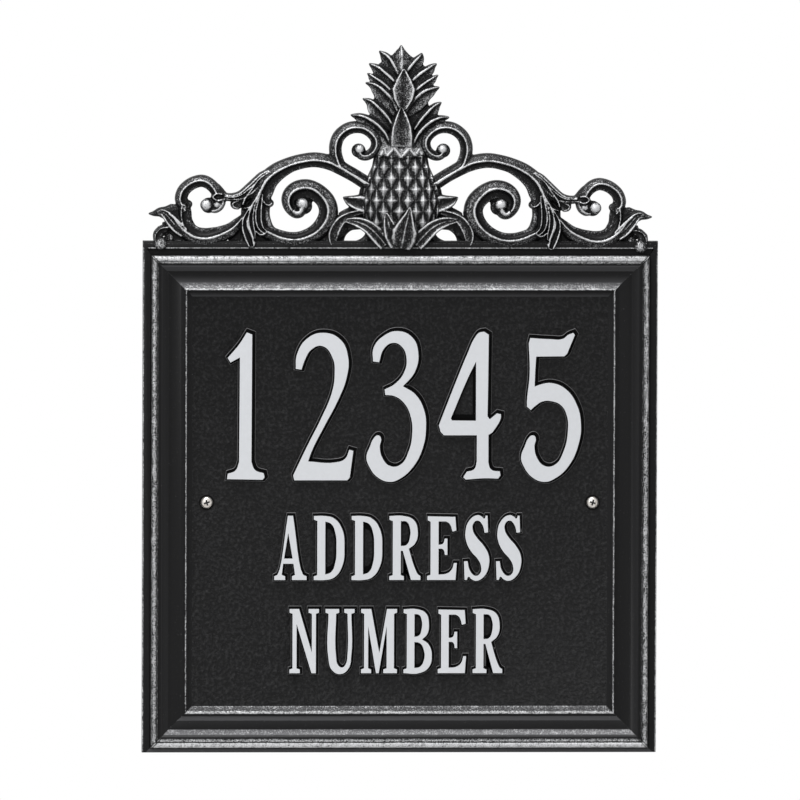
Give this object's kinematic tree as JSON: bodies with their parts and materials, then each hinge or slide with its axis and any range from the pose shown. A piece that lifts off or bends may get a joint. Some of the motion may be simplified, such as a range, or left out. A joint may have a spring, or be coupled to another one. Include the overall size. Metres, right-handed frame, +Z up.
{
  "type": "wall address plaque",
  "caption": "Square moulded address plaque with a pierced crest of scrolls, acanthus leaves and a pineapple, fixed flat to a wall by screws.",
  "frame": {"origin": "on the wall, midway between the axes of the two screws", "axes": "+Z up, +X to the right as seen from the front, +Y into the wall, so the front faces -Y"},
  "size_m": [0.36, 0.0543, 0.495],
  "materials": {
    "casting": "satin black paint, rubbed with silver on everything raised",
    "screws": "plain stainless"
  },
  "bodies": {
    "root": {"plaque": "casting", "mounting_screws": "screws"}
  },
  "joints": []
}
